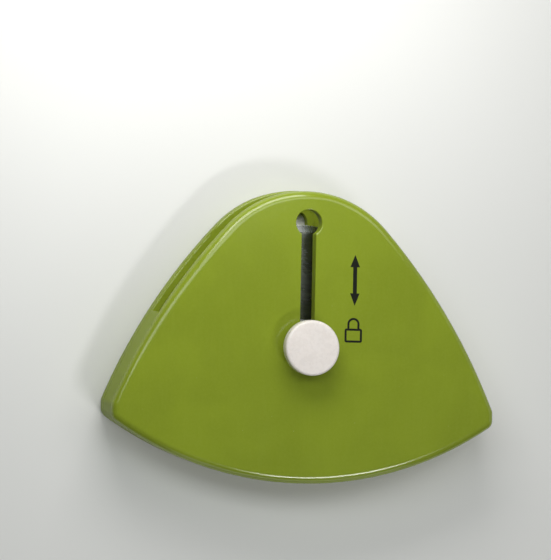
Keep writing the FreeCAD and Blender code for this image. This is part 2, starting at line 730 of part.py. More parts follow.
# --------------------------------------------------------------------------
# Slider, retaining clip and thrust washers
# --------------------------------------------------------------------------
def make_slider():
    """Foot over the rear land, shoulder, and the tube that the hub turns on."""
    body = new_body("slider")
    half_x, half_y = spec.slider_foot_x / 2, spec.slider_foot_y / 2
    sketch = flat_sketch(body, "slider_foot", spec.slider_bottom)
    add_round_rectangle(sketch, -half_x, half_x, spec.axle_y - half_y, spec.axle_y + half_y,
                        spec.slider_foot_corner)
    foot = pad(body, sketch, spec.slider_foot)
    fillet(body, foot, at_height(foot_top), spec.slider_foot_round)
    neck_low = spec.slider_bottom + spec.neck_start
    sketch = axle_sketch(body, "slider_shoulder", neck_low, spec.neck_diameter)
    pad(body, sketch, spec.shoulder_top - neck_low)
    collar_low = foot_top + spec.neck_height
    sketch = axle_sketch(body, "slider_collar", collar_low, spec.shoulder_diameter)
    pad(body, sketch, spec.shoulder_top - collar_low)
    sketch = axle_sketch(body, "slider_tube", foot_top, spec.tube_diameter)
    tube = pad(body, sketch, spec.tube_top - foot_top)
    chamfer(body, tube, at_height(spec.tube_top), spec.tube_chamfer)
    sketch = axle_sketch(body, "slider_groove", spec.clip_bottom,
                         spec.tube_diameter + OVERCUT, spec.clip_groove)
    pocket(body, sketch, spec.clip_space, up=True)
    sketch = axle_sketch(body, "slider_bore", spec.tube_top, spec.tube_bore)
    pocket(body, sketch, spec.tube_top - foot_top)
    sketch = axle_sketch(body, "slider_pin_hole", spec.tube_top, spec.pin_hole)
    pocket(body, sketch, spec.tube_top - spec.slider_bottom + OVERCUT)
    return body


def make_retaining_clip():
    """Open ring halfway up the groove, its opening towards -Y."""
    body = new_body("retaining_clip")
    play = (spec.clip_space - spec.clip_thickness) / 2
    sketch = axle_sketch(body, "clip_ring", spec.clip_bottom + play,
                         spec.clip_diameter, spec.clip_bore)
    pad(body, sketch, spec.clip_thickness)
    sketch = flat_sketch(body, "clip_opening", spec.clip_bottom)
    half, far_y = spec.clip_gap / 2, spec.axle_y - CLIP_CUT_REACH
    add_polygon(sketch, [(-half, far_y), (half, far_y),
                         (half, spec.axle_y), (-half, spec.axle_y)])
    opening = pocket(body, sketch, spec.clip_thickness + OVERCUT, up=True)

    def opening_corner(edge):
        box = edge.BoundBox
        return (box.ZLength > spec.clip_thickness.value / 2
                and edge.Curve.TypeId == "Part::GeomLine"
                and box.YMax < spec.axle_y.value)

    fillet(body, opening, opening_corner, spec.clip_round)
    return body


def make_thrust_washers():
    """One washer under the hub and one above it."""
    body = new_body("thrust_washers")
    body.AllowCompound = True
    for name, low in (("washer_lower", spec.washer_low), ("washer_upper", spec.washer_high)):
        sketch = axle_sketch(body, name, low, spec.washer_diameter, spec.washer_bore)
        pad(body, sketch, spec.washer_thickness)
    return body


# --------------------------------------------------------------------------
# Blade, hub and hub plate
# --------------------------------------------------------------------------
def make_cutting_blade():
    """Disc bevelled on both faces, with a bore for the flatted spigot."""
    body = new_body("cutting_blade")
    rim = spec.blade_diameter / 2
    middle = spec.blade_bottom + spec.blade_thickness / 2
    half_edge = spec.edge_thickness / 2
    sketch = upright_sketch(body, "blade_profile")
    add_polygon(sketch, [
        (ZERO, spec.blade_bottom), (rim - spec.bevel_width, spec.blade_bottom),
        (rim, middle - half_edge), (rim, middle + half_edge),
        (rim - spec.bevel_width, blade_top), (ZERO, blade_top)])
    revolve(body, sketch)
    sketch = flat_sketch(body, "blade_bore", blade_top)
    add_spigot(sketch)
    pocket(body, sketch, spec.blade_thickness + OVERCUT)
    return body


def make_blade_hub():
    """Flange under the blade and flatted spigot through it."""
    body = new_body("blade_hub")
    sketch = axle_sketch(body, "hub_flange", spec.hub_bottom, spec.hub_diameter)
    flange = pad(body, sketch, spec.blade_bottom - spec.hub_bottom)
    fillet(body, flange, at_height(spec.hub_bottom), spec.hub_round)
    sketch = flat_sketch(body, "hub_spigot", spec.blade_bottom)
    add_spigot(sketch)
    pad(body, sketch, spec.hub_top - spec.blade_bottom)
    sketch = axle_sketch(body, "hub_bore", spec.hub_top, spec.hub_bore)
    pocket(body, sketch, spec.hub_top - spec.hub_bottom + OVERCUT)
    return body


def make_hub_plate():
    """Thin ring on the spigot, above the blade."""
    body = new_body("hub_plate")
    sketch = axle_sketch(body, "hub_plate_ring", blade_top, spec.hub_diameter)
    add_spigot(sketch)
    ring = pad(body, sketch, spec.hub_plate_thickness)
    on_top = at_height(blade_top + spec.hub_plate_thickness)

    def outer_top(edge):
        return on_top(edge) and edge.BoundBox.XMax > spec.spigot_diameter.value / 2

    chamfer(body, ring, outer_top, spec.hub_plate_chamfer)
    return body


# --------------------------------------------------------------------------
# Axle pin, lock plunger, spring and push button
# --------------------------------------------------------------------------
def make_axle_pin():
    body = new_body("axle_pin")
    sketch = axle_sketch(body, "pin_round", spec.pin_bottom, spec.pin_diameter)
    shaft = pad(body, sketch, spec.pin_top - spec.pin_bottom)
    chamfer(body, shaft, level, spec.pin_chamfer)
    return body


def make_lock_plunger():
    """Sleeve on the pin with a stop flange."""
    body = new_body("lock_plunger")
    sketch = axle_sketch(body, "plunger_round", spec.plunger_bottom, spec.plunger_diameter)
    sleeve = pad(body, sketch, spec.plunger_top - spec.plunger_bottom)
    chamfer(body, sleeve, level, spec.plunger_chamfer)
    sketch = axle_sketch(body, "plunger_flange", spec.flange_bottom, spec.flange_diameter)
    pad(body, sketch, spec.flange_thickness)
    sketch = axle_sketch(body, "plunger_bore", spec.plunger_top, spec.pin_diameter)
    pocket(body, sketch, spec.plunger_top - spec.plunger_bottom + OVERCUT)
    return body


def make_lock_spring():
    """Coil between the slider foot and the plunger."""
    body = new_body("lock_spring")
    wire = spec.spring_wire
    sketch = upright_sketch(body, "spring_wire")
    add_circle(sketch, spec.spring_diameter / 2 - wire / 2,
               foot_top + wire / 2 + spec.spring_gap, wire)
    coil = body.newObject("PartDesign::AdditiveHelix", "spring_coil")
    coil.Profile = sketch
    coil.ReferenceAxis = (sketch, ["V_Axis"])
    coil.Mode = "height-turns-angle"
    bind(coil, "Height", spec.plunger_bottom - foot_top - wire - spec.spring_gap * 2)
    bind(coil, "Turns", spec.spring_turns)
    coil.Angle = 0
    doc.recompute()
    return body


def make_push_button():
    """Crowned cap, hollow below, with a post that grips the pin."""
    body = new_body("push_button")
    sketch = upright_sketch(body, "button_profile")
    rim, post, bore = spec.button_diameter / 2, spec.button_post / 2, spec.pin_diameter / 2
    low, side, crown = spec.button_bottom, spec.button_side, spec.button_crown
    wall_inner, ceiling = rim - spec.button_wall, low + spec.button_hollow
    lines = add_path(sketch, [
        (ZERO, side + crown), (ZERO, spec.pin_top), (bore, spec.pin_top),
        (bore, spec.button_foot), (post, spec.button_foot), (post, ceiling),
        (wall_inner, ceiling), (wall_inner, low), (rim, low), (rim, side)])
    # crown arc from the rim up to the axis
    radius = (rim.value ** 2 + crown.value ** 2) / (2 * crown.value)
    centre_z = side.value + crown.value - radius
    arc = add_arc(sketch, (0, centre_z), radius,
                  math.atan2(side.value - centre_z, rim.value), math.pi / 2)
    constrain(sketch, "Coincident", lines[-1], 2, arc, 1)
    constrain(sketch, "Coincident", arc, 2, lines[0], 1)
    constrain(sketch, "PointOnObject", arc, 3, -2)
    cap = revolve(body, sketch)

    def crown_edge(edge):
        box = edge.BoundBox
        return abs(box.ZMin - side.value) < 1e-3 and box.XMax > rim.value - 0.01

    fillet(body, cap, crown_edge, spec.button_round)
    return body


# --------------------------------------------------------------------------
# Printed marks on the front face
# --------------------------------------------------------------------------
def make_arrow_mark():
    """Double-headed arrow along Y."""
    body = new_body("arrow_mark")
    sketch = flat_sketch(body, "arrow_shape", spec.case_thickness)
    x, low, high = spec.mark_x, spec.arrow_low, spec.arrow_high
    head, shaft = spec.arrow_head_width / 2, spec.arrow_shaft / 2
    neck_low, neck_high = low + spec.arrow_head_length, high - spec.arrow_head_length
    add_polygon(sketch, [
        (x, low), (x + head, neck_low), (x + shaft, neck_low), (x + shaft, neck_high),
        (x + head, neck_high), (x, high), (x - head, neck_high), (x - shaft, neck_high),
        (x - shaft, neck_low), (x - head, neck_low)])
    pad(body, sketch, spec.mark_thickness)
    return body


def make_padlock_mark():
    """Outlined padlock body with a shackle above it in y."""
    body = new_body("padlock_mark")
    x, half, line = spec.padlock_x, spec.padlock_width / 2, spec.padlock_stroke
    low, high = spec.padlock_low, spec.padlock_low + spec.padlock_height
    sketch = flat_sketch(body, "padlock_body", spec.case_thickness)
    add_round_rectangle(sketch, x - half, x + half, low, high, spec.padlock_corner)
    inner_left, inner_right = x - half + line, x + half - line
    add_polygon(sketch, [(inner_left, low + line), (inner_right, low + line),
                         (inner_right, high - line), (inner_left, high - line)])
    pad(body, sketch, spec.mark_thickness)

    sketch = flat_sketch(body, "padlock_shackle", spec.case_thickness)
    outer = spec.shackle_width / 2
    inner = outer - line
    foot_y, bend_y = high - line / 2, high + spec.shackle_leg
    centre = (x.value, bend_y.value)
    outer_arc = add_arc(sketch, centre, outer.value, 0, math.pi)
    inner_arc = add_arc(sketch, centre, inner.value, 0, math.pi)
    left_leg = add_path(sketch, [(x - outer, bend_y), (x - outer, foot_y),
                                 (x - inner, foot_y), (x - inner, bend_y)])
    right_leg = add_path(sketch, [(x + inner, bend_y), (x + inner, foot_y),
                                  (x + outer, foot_y), (x + outer, bend_y)])
    constrain(sketch, "Coincident", outer_arc, 2, left_leg[0], 1)
    constrain(sketch, "Coincident", outer_arc, 1, right_leg[-1], 2)
    constrain(sketch, "Coincident", inner_arc, 2, left_leg[-1], 2)
    constrain(sketch, "Coincident", inner_arc, 1, right_leg[0], 1)
    for geo in (outer_arc, inner_arc):
        drive_y(sketch, geo, 3, bend_y)
    pad(body, sketch, spec.mark_thickness)
    return body


# --------------------------------------------------------------------------
# Build, check and export
# --------------------------------------------------------------------------
MAKERS = [make_front_shell, make_rear_shell, make_case_screws, make_slider,
          make_retaining_clip, make_thrust_washers, make_cutting_blade, make_blade_hub,
          make_hub_plate, make_axle_pin, make_lock_plunger, make_lock_spring,
          make_push_button, make_arrow_mark, make_padlock_mark]
bodies = [make() for make in MAKERS]
doc.recompute()

for obj in doc.Objects:
    state = [str(word) for word in obj.State]
    if "Invalid" in state or "Error" in state:
        raise RuntimeError("%s failed: %s" % (obj.Name, state))
for body in bodies:
    shape = body.Shape
    if shape.isNull() or not shape.isValid() or not shape.Solids:
        raise RuntimeError("%s has no valid solid" % body.Label)

os.makedirs("parts", exist_ok=True)
for body in bodies:
    body.Shape.exportStep("parts/%s.step" % body.Label)
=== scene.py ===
"""Looks of the retractable cutter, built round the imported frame.

Frame: metres, case on its back on the floor (z = 0), front face up, +Y towards the rounded end.
"""
import json
import math

import bmesh
import bpy
import numpy as np
from mathutils import Matrix, Vector


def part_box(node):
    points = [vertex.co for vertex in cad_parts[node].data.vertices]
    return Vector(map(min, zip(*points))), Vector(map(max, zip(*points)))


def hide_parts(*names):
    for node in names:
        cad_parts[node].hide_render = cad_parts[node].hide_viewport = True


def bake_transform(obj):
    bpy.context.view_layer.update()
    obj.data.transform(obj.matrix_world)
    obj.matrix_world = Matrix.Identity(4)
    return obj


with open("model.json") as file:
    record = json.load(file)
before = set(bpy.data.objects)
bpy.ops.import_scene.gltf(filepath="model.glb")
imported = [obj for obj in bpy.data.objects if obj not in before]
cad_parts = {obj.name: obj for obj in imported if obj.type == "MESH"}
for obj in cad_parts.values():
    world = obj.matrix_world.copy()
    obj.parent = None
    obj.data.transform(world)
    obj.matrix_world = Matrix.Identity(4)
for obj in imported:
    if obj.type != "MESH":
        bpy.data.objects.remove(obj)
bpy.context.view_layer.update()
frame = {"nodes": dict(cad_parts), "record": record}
NODES = frame["nodes"]
scene = bpy.context.scene

MM = 0.001


def centre_of(node):
    lo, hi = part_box(node)
    return (lo + hi) / 2


AXLE = centre_of("axle_pin")            # x, y of the blade axle with the blade retracted
FACE_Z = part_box("front_shell")[1].z     # front face of the case


# ---------------------------------------------------------------------------
# A short way to write node materials
# ---------------------------------------------------------------------------
class Net:
    """Builds one material's node tree. Values may be numbers, tuples or sockets."""

    def __init__(self, name):
        self.mat = bpy.data.materials.new(name)
        self.mat.use_nodes = True
        self.tree = self.mat.node_tree
        self.tree.nodes.clear()
        self.out = self.tree.nodes.new("ShaderNodeOutputMaterial")
        coord = self.tree.nodes.new("ShaderNodeTexCoord")
        # millimetres in the row frame
        self.mm = self.vec("MULTIPLY", coord.outputs["Object"], (1000, 1000, 1000))
        self.coord = coord

    def put(self, socket, value):
        if value is None:
            return
        if hasattr(value, "links"):
            self.tree.links.new(value, socket)
            return
        if socket.type == "RGBA" and not hasattr(value, "__len__"):
            value = (value, value, value, 1)
        if socket.type == "RGBA" and len(value) == 3:
            value = (*value, 1)
        if socket.type == "VECTOR" and not hasattr(value, "__len__"):
            value = (value, value, value)
        socket.default_value = value

    def node(self, kind, **settings):
        n = self.tree.nodes.new(kind)
        for key, value in settings.items():
            setattr(n, key, value)
        return n

    def vec(self, operation, a, b=None, scale=None, out="Vector"):
        n = self.node("ShaderNodeVectorMath", operation=operation)
        self.put(n.inputs[0], a)
        if b is not None:
            self.put(n.inputs[1], b)
        if scale is not None:
            self.put(n.inputs["Scale"], scale)
        return n.outputs[out]

    def math(self, operation, a, b=None, c=None, clamp=False):
        n = self.node("ShaderNodeMath", operation=operation, use_clamp=clamp)
        self.put(n.inputs[0], a)
        if b is not None:
            self.put(n.inputs[1], b)
        if c is not None:
            self.put(n.inputs[2], c)
        return n.outputs[0]

    def split(self, v):
        n = self.node("ShaderNodeSeparateXYZ")
        self.put(n.inputs[0], v)
        return n.outputs

    def join(self, x, y, z):
        n = self.node("ShaderNodeCombineXYZ")
        for i, value in enumerate((x, y, z)):
            self.put(n.inputs[i], value)
        return n.outputs[0]

    def noise(self, v, scale, detail=2.0, rough=0.5, distort=0.0):
        n = self.node("ShaderNodeTexNoise")
        self.put(n.inputs["Vector"], v)
        n.inputs["Scale"].default_value = scale
        n.inputs["Detail"].default_value = detail
        n.inputs["Roughness"].default_value = rough
        n.inputs["Distortion"].default_value = distort
        return n.outputs["Fac"]

    def cells(self, v, scale, feature="F1"):
        n = self.node("ShaderNodeTexVoronoi", feature=feature)
        self.put(n.inputs["Vector"], v)
        n.inputs["Scale"].default_value = scale
        return n.outputs["Distance"]

    def remap(self, value, low, high, to_low=0.0, to_high=1.0, smooth=True):
        n = self.node("ShaderNodeMapRange", interpolation_type="SMOOTHSTEP" if smooth else "LINEAR")
        self.put(n.inputs["Value"], value)
        self.put(n.inputs["From Min"], low)
        self.put(n.inputs["From Max"], high)
        self.put(n.inputs["To Min"], to_low)
        self.put(n.inputs["To Max"], to_high)
        return n.outputs["Result"]

    def mix(self, factor, a, b, blend="MIX"):
        n = self.node("ShaderNodeMix", data_type="RGBA", blend_type=blend)
        self.put(n.inputs[0], factor)
        self.put(n.inputs[6], a)
        self.put(n.inputs[7], b)
        return n.outputs[2]

    def bump(self, height, distance_mm, normal=None, strength=1.0):
        n = self.node("ShaderNodeBump")
        self.put(n.inputs["Height"], height)
        n.inputs["Distance"].default_value = distance_mm * MM
        n.inputs["Strength"].default_value = strength
        if normal is not None:
            self.put(n.inputs["Normal"], normal)
        return n.outputs["Normal"]

    def edge(self, radius_mm, samples=6):
        """(mask of convex and concave edges, softened normal)."""
        bevel = self.node("ShaderNodeBevel", samples=samples)
        bevel.inputs["Radius"].default_value = radius_mm * MM
        geo = self.node("ShaderNodeNewGeometry")
        dot = self.vec("DOT_PRODUCT", bevel.outputs[0], geo.outputs["Normal"], out="Value")
        return self.remap(dot, 0.995, 0.80), bevel.outputs[0]

    def shade(self, **values):
        n = self.node("ShaderNodeBsdfPrincipled")
        for key, value in values.items():
            self.put(n.inputs[key.replace("_", " ")], value)
        self.tree.links.new(n.outputs[0], self.out.inputs[0])
        return n


def srgb(r, g, b):
    """8-bit display colour to scene linear."""
    def one(c):
        c = c / 255.0
        return c / 12.92 if c <= 0.04045 else ((c + 0.055) / 1.055) ** 2.4
    return (one(r), one(g), one(b))


def scale_colour(c, k):
    return tuple(x * k for x in c)


# ---------------------------------------------------------------------------
# Materials
# ---------------------------------------------------------------------------
def case_plastic():
    """Lime green moulded ABS: glossy, faint flow marks, orange peel, dust and hairline scratches."""
    n = Net("lime_abs")
    base = srgb(128, 144, 38)
    cloud = n.remap(n.noise(n.mm, 0.055, 3, 0.55, 0.4), 0.35, 0.68)
    fleck = n.noise(n.mm, 1.6, 6, 0.65)
    colour = n.mix(cloud, scale_colour(base, 0.955), scale_colour(base, 1.045))
    colour = n.mix(n.math("MULTIPLY", n.remap(fleck, 0.40, 0.62), 0.10), colour, srgb(146, 160, 62))
    # flow lines that fan out from the round end, barely visible
    x, y, z = n.split(n.mm)
    swirl = n.noise(n.join(n.math("MULTIPLY", x, 0.9), n.math("MULTIPLY", y, 0.10), z), 1.0, 3, 0.6, 1.2)
    colour = n.mix(n.math("MULTIPLY", n.remap(swirl, 0.45, 0.65), 0.025), colour, srgb(160, 176, 80))
    # settled dust
    dust = n.remap(n.cells(n.mm, 0.42), 0.055, 0.025)
    dust_on = n.remap(n.noise(n.mm, 0.30, 2, 0.5), 0.56, 0.64)
    dust = n.math("MULTIPLY", dust, dust_on)
    colour = n.mix(n.math("MULTIPLY", dust, 0.35), colour, srgb(190, 196, 150))
    # worn, slightly paler edges
    edge, soft = n.edge(0.22, 4)
    worn = n.math("MULTIPLY", edge, n.remap(n.noise(n.mm, 0.9, 4, 0.7), 0.35, 0.62, 0.15, 0.55))
    colour = n.mix(n.math("MULTIPLY", worn, 0.55), colour, srgb(170, 186, 92))
    # faint hairline rub marks in two directions, seen only in the gloss
    def hair(angle, width, length, offset):
        c, d = math.cos(angle), math.sin(angle)
        u = n.math("ADD", n.math("MULTIPLY", x, c), n.math("MULTIPLY", y, d))
        v = n.math("SUBTRACT", n.math("MULTIPLY", y, c), n.math("MULTIPLY", x, d))
        return n.remap(n.noise(n.join(n.math("MULTIPLY", u, length), n.math("MULTIPLY", v, width), offset),
                               1.0, 1, 0.4), 0.70, 0.78)
    scratch = n.math("MAXIMUM", hair(0.5, 3.5, 0.05, 3.0), hair(-0.9, 4.0, 0.04, 9.0))
    haze = n.remap(n.noise(n.mm, 0.035, 3, 0.6, 0.8), 0.30, 0.70, 0.0, 0.035)
    rough = n.math("ADD", n.remap(n.noise(n.mm, 0.8, 4, 0.6), 0.3, 0.7, 0.105, 0.135), haze)
    rough = n.math("ADD", rough, n.math("MULTIPLY", scratch, 0.05))
    rough = n.math("ADD", rough, n.math("MULTIPLY", worn, 0.12), clamp=True)
    normal = n.bump(n.noise(n.mm, 0.45, 2, 0.5), 0.0030, soft)
    normal = n.bump(n.noise(n.mm, 6.0, 3, 0.6), 0.0003, normal)
    # the upright walls come out of the mould satin, the faces and their rounded edges polished
    geo = n.node("ShaderNodeNewGeometry")
    upright = n.remap(n.math("ABSOLUTE", n.split(geo.outputs["Normal"])[2]), 0.28, 0.08)
    rough = n.math("ADD", rough, n.math("MULTIPLY", upright, 0.22), clamp=True)
    gloss = n.math("SUBTRACT", 0.5, n.math("MULTIPLY", upright, 0.46))
    n.shade(Base_Color=colour, Roughness=rough, Normal=normal, IOR=1.53,
            Subsurface_Weight=0.10, Subsurface_Radius=(0.9, 1.2, 0.25), Subsurface_Scale=0.0009,
            Specular_IOR_Level=gloss)
    return n.mat


def button_plastic():
    """White moulded plastic, polished on top, with fine rub marks and a trace of thumb grime at the rim."""
    n = Net("white_button")
    base = srgb(230, 223, 219)
    cloud = n.remap(n.noise(n.mm, 0.25, 3, 0.5), 0.35, 0.65)
    colour = n.mix(cloud, scale_colour(base, 0.97), scale_colour(base, 1.01))
    colour = n.mix(n.math("MULTIPLY", n.remap(n.noise(n.mm, 3.5, 5, 0.7), 0.55, 0.75), 0.12),
                   colour, srgb(214, 212, 205))
    x, y, z = n.split(n.mm)
    dx, dy = n.math("SUBTRACT", x, AXLE.x * 1000), n.math("SUBTRACT", y, AXLE.y * 1000)
    r = n.math("SQRT", n.math("ADD", n.math("MULTIPLY", dx, dx), n.math("MULTIPLY", dy, dy)))
    rim = n.remap(r, 5.6, 6.6)
    grime = n.math("MULTIPLY", rim, n.remap(n.noise(n.mm, 0.7, 4, 0.65), 0.45, 0.70))
    colour = n.mix(n.math("MULTIPLY", grime, 0.18), colour, srgb(176, 172, 158))
    turned = n.noise(n.join(n.math("MULTIPLY", r, 5.0), 0.3, 0.0), 1.0, 2, 0.5)
    rub = n.remap(n.noise(n.join(n.math("MULTIPLY", x, 0.4), n.math("MULTIPLY", y, 6.0), 1.0), 1.0, 2, 0.5), 0.64, 0.70)
    rough = n.math("ADD", n.remap(n.noise(n.mm, 1.0, 4, 0.6), 0.3, 0.7, 0.24, 0.31), n.math("MULTIPLY", rub, 0.08))
    edge, soft = n.edge(0.18, 4)
    normal = n.bump(n.noise(n.mm, 1.4, 2, 0.5), 0.0030, soft)
    normal = n.bump(turned, 0.0005, normal)
    normal = n.bump(rub, -0.0006, normal)
    n.shade(Base_Color=colour, Roughness=rough, Normal=normal, IOR=1.5,
            Subsurface_Weight=0.30, Subsurface_Radius=(1.0, 0.95, 0.85), Subsurface_Scale=0.0012)
    return n.mat


def ink():
    """Pad-printed ink: thin near-black green, slightly uneven, matt beside the gloss of the case."""
    n = Net("print_ink")
    patch = n.remap(n.noise(n.mm, 2.4, 5, 0.7), 0.35, 0.7)
    colour = n.mix(patch, srgb(10, 12, 6), srgb(20, 24, 11))
    pin_holes = n.remap(n.cells(n.mm, 3.2), 0.10, 0.05)
    colour = n.mix(n.math("MULTIPLY", pin_holes, 0.45), colour, srgb(92, 106, 34))
    rough = n.remap(n.noise(n.mm, 3.0, 3, 0.6), 0.3, 0.7, 0.34, 0.46)
    normal = n.bump(n.noise(n.mm, 5.0, 3, 0.6), 0.0015)
    n.shade(Base_Color=colour, Roughness=rough, Normal=normal, IOR=1.45, Specular_IOR_Level=0.25)
    return n.mat


def polar(n):
    """Radius from the axle (mm) and a seamless pair for the angle."""
    x, y, z = n.split(n.mm)
    dx, dy = n.math("SUBTRACT", x, AXLE.x * 1000), n.math("SUBTRACT", y, AXLE.y * 1000)
    r = n.math("SQRT", n.math("ADD", n.math("MULTIPLY", dx, dx), n.math("MULTIPLY", dy, dy)))
    safe = n.math("MAXIMUM", r, 0.01)
    return r, n.math("DIVIDE", dx, safe), n.math("DIVIDE", dy, safe), z


def blade_steel():
    """Stainless sheet: fine circular grain on the flat, cross-ground bevel, and a painted highlight that makes the
    cutting edge near-white.
    """
    n = Net("blade_stainless")
    r, cx, cy, z = polar(n)
    grain = n.noise(n.join(n.math("MULTIPLY", r, 9.0), n.math("MULTIPLY", cx, 1.3), n.math("MULTIPLY", cy, 1.3)),
                    1.0, 5, 0.65)
    broad = n.noise(n.join(n.math("MULTIPLY", r, 1.1), n.math("MULTIPLY", cx, 0.8), n.math("MULTIPLY", cy, 0.8)),
                    1.0, 3, 0.5)
    ground = n.noise(n.join(n.math("MULTIPLY", cx, 85), n.math("MULTIPLY", cy, 85), n.math("MULTIPLY", r, 0.25)),
                     1.0, 4, 0.6)
    bevel = n.remap(r, 26.85, 26.95)
    # painted highlight: a near-white band along the cutting edge stands in for the glint of light on it
    edge_glint = n.remap(r, 28.32, 28.46)
    tone = n.mix(n.remap(broad, 0.3, 0.7), (0.27, 0.275, 0.28), (0.34, 0.345, 0.35))
    tone = n.mix(n.math("MULTIPLY", n.remap(grain, 0.42, 0.62), 0.05), tone, (0.50, 0.51, 0.52))
    tone = n.mix(bevel, tone, (0.29, 0.30, 0.30))
    tone = n.mix(edge_glint, tone, (0.85, 0.86, 0.87))
    smear = n.remap(n.noise(n.mm, 0.09, 4, 0.6, 0.6), 0.48, 0.66)
    tone = n.mix(n.math("MULTIPLY", smear, 0.10), tone, (0.44, 0.45, 0.44))
    rough_flat = n.remap(grain, 0.35, 0.65, 0.225, 0.245)
    rough_bevel = n.remap(ground, 0.35, 0.65, 0.25, 0.29)
    blend = n.node("ShaderNodeMix", data_type="FLOAT")
    n.put(blend.inputs[0], bevel)
    n.put(blend.inputs[2], rough_flat)
    n.put(blend.inputs[3], rough_bevel)
    rough = n.math("ADD", blend.outputs[0], n.math("MULTIPLY", smear, 0.05))
    height = n.node("ShaderNodeMix", data_type="FLOAT")
    n.put(height.inputs[0], bevel)
    n.put(height.inputs[2], grain)
    n.put(height.inputs[3], ground)
    normal = n.bump(height.outputs[0], 0.00012)
    tangent = n.node("ShaderNodeTangent", direction_type="RADIAL", axis="Z")
    n.shade(Base_Color=tone, Metallic=1.0, Roughness=rough, Normal=normal,
            Anisotropic=0.20, Tangent=tangent.outputs[0])
    return n.mat


def turned_steel(name, tone_a, tone_b, rough_low, rough_high, tint=None):
    """Small turned or stamped steel pieces: fine rings, tiny nicks."""
    n = Net(name)
    x, y, z = n.split(n.mm)
    rings = n.noise(n.join(n.math("MULTIPLY", x, 0.3), n.math("MULTIPLY", y, 0.3), n.math("MULTIPLY", z, 9.0)),
                    1.0, 4, 0.6)
    mottle = n.remap(n.noise(n.mm, 1.2, 4, 0.6), 0.35, 0.65)
    tone = n.mix(mottle, tone_a, tone_b)
    if tint is not None:
        tone = n.mix(n.math("MULTIPLY", n.remap(n.noise(n.mm, 0.5, 3, 0.6), 0.4, 0.7), 0.5), tone, tint)
    edge, soft = n.edge(0.10, 4)
    tone = n.mix(n.math("MULTIPLY", edge, 0.35), tone, (0.86, 0.86, 0.87))
    nick = n.remap(n.cells(n.mm, 1.8), 0.09, 0.03)
    tone = n.mix(n.math("MULTIPLY", nick, 0.25), tone, (0.30, 0.30, 0.30))
    rough = n.remap(rings, 0.3, 0.7, rough_low, rough_high)
    normal = n.bump(rings, 0.0014, soft)
    normal = n.bump(nick, -0.0015, normal)
    n.shade(Base_Color=tone, Metallic=1.0, Roughness=rough, Normal=normal)
    return n.mat


def acetal(name, light, dark, rough_low, rough_high, sss):
    """Engineering plastic with a waxy surface, faint witness marks and fine tooling texture."""
    n = Net(name)
    cloud = n.remap(n.noise(n.mm, 0.5, 4, 0.55), 0.35, 0.65)
    colour = n.mix(cloud, dark, light)
    colour = n.mix(n.math("MULTIPLY", n.remap(n.noise(n.mm, 4.0, 4, 0.7), 0.55, 0.75), 0.10), colour,
                   scale_colour(dark, 0.8))
    edge, soft = n.edge(0.12, 4)
    colour = n.mix(n.math("MULTIPLY", edge, 0.20), colour, scale_colour(light, 1.1))
    rough = n.remap(n.noise(n.mm, 2.0, 4, 0.6), 0.3, 0.7, rough_low, rough_high)
    normal = n.bump(n.noise(n.mm, 7.0, 3, 0.6), 0.0012, soft)
    n.shade(Base_Color=colour, Roughness=rough, Normal=normal, IOR=1.48,
            Subsurface_Weight=sss, Subsurface_Radius=(1.0, 0.9, 0.7), Subsurface_Scale=0.001)
    return n.mat


MATERIALS = {
    "case_plastic": case_plastic(),
    "button_plastic": button_plastic(),
    "print_ink": ink(),
    "blade_steel": blade_steel(),
    "pin_steel": turned_steel("turned_stainless", (0.52, 0.52, 0.53), (0.62, 0.62, 0.63), 0.22, 0.36),
    "plated_steel": turned_steel("zinc_plated", (0.58, 0.58, 0.58), (0.70, 0.70, 0.69), 0.28, 0.42, (0.62, 0.58, 0.46)),
    "spring_steel": turned_steel("spring_wire_steel", (0.40, 0.40, 0.41), (0.52, 0.52, 0.53), 0.20, 0.34),
    "slider_plastic": acetal("natural_acetal", srgb(228, 225, 214), srgb(216, 212, 199), 0.34, 0.46, 0.25),
    "hub_plastic": acetal("dark_acetal", srgb(66, 68, 70), srgb(52, 54, 56), 0.36, 0.50, 0.02),
    "washer_plastic": acetal("washer_sheet", srgb(236, 236, 234), srgb(226, 226, 224), 0.40, 0.55, 0.20),
}

SLOT_OF = {s["node"]: s["material_slot"] for s in frame["record"]["subparts"]}
for name, obj in NODES.items():
    obj.data.materials.clear()
    obj.data.materials.append(MATERIALS[SLOT_OF[name]])
    for polygon in obj.data.polygons:
        polygon.material_index = 0


